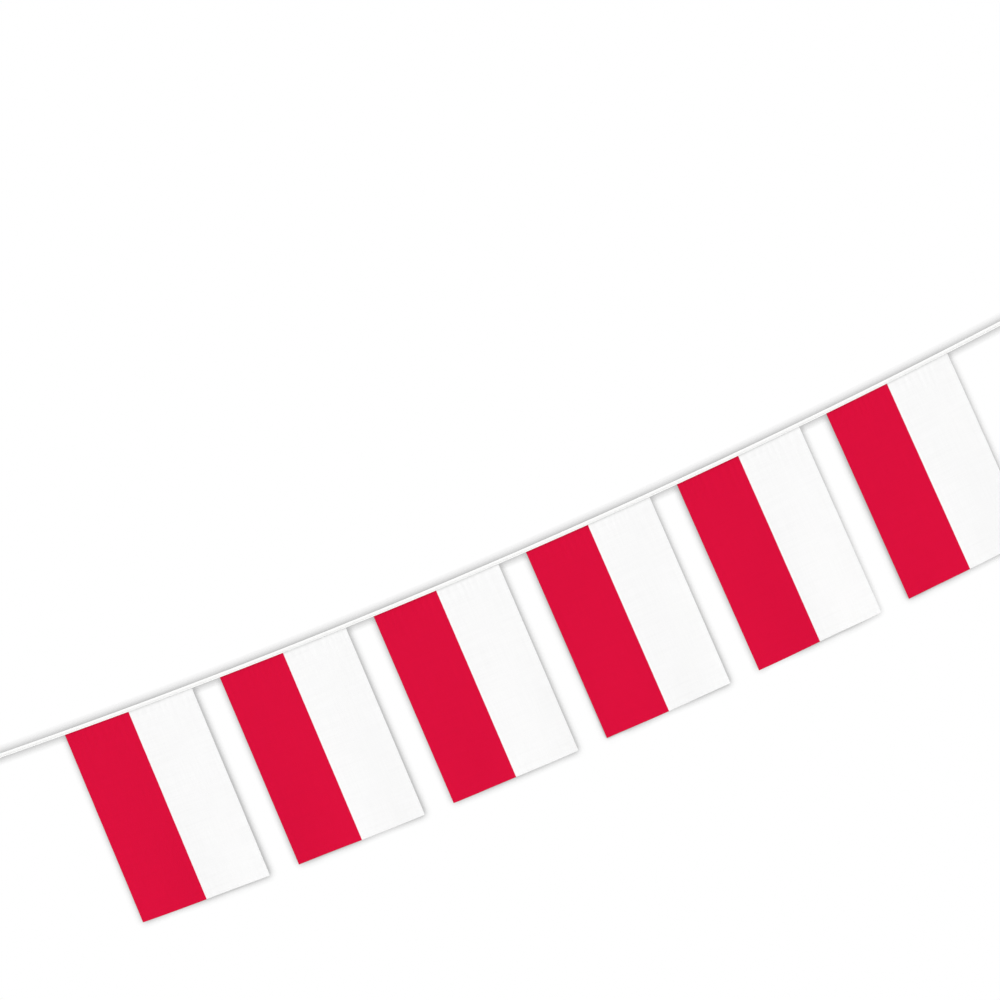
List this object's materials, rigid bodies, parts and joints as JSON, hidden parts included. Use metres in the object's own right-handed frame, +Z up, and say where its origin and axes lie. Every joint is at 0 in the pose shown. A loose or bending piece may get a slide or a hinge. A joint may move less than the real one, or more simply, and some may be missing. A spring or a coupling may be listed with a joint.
{
  "type": "flag bunting",
  "caption": "String of upright rectangular cloth flags, each split into a red and a white half, tucked into a folded tape that hangs in a shallow swag.",
  "frame": {"origin": "middle of the cut left end of the folded tape, where the string is held", "axes": "+X along the tape from its left end to its right end, +Y from the viewer's side to the back of the cloth, +Z up"},
  "size_m": [1.3041, 0.0072, 0.255],
  "materials": {
    "tape_white": "white woven tape, matte",
    "flag_cloth": "thin polyester cloth, soft satin; red on the left half, as here, and white on the right half"
  },
  "bodies": {
    "root": {"tape": "tape_white", "flag_1": "flag_cloth", "flag_2": "flag_cloth", "flag_3": "flag_cloth", "flag_4": "flag_cloth", "flag_5": "flag_cloth", "flag_6": "flag_cloth"}
  },
  "joints": []
}
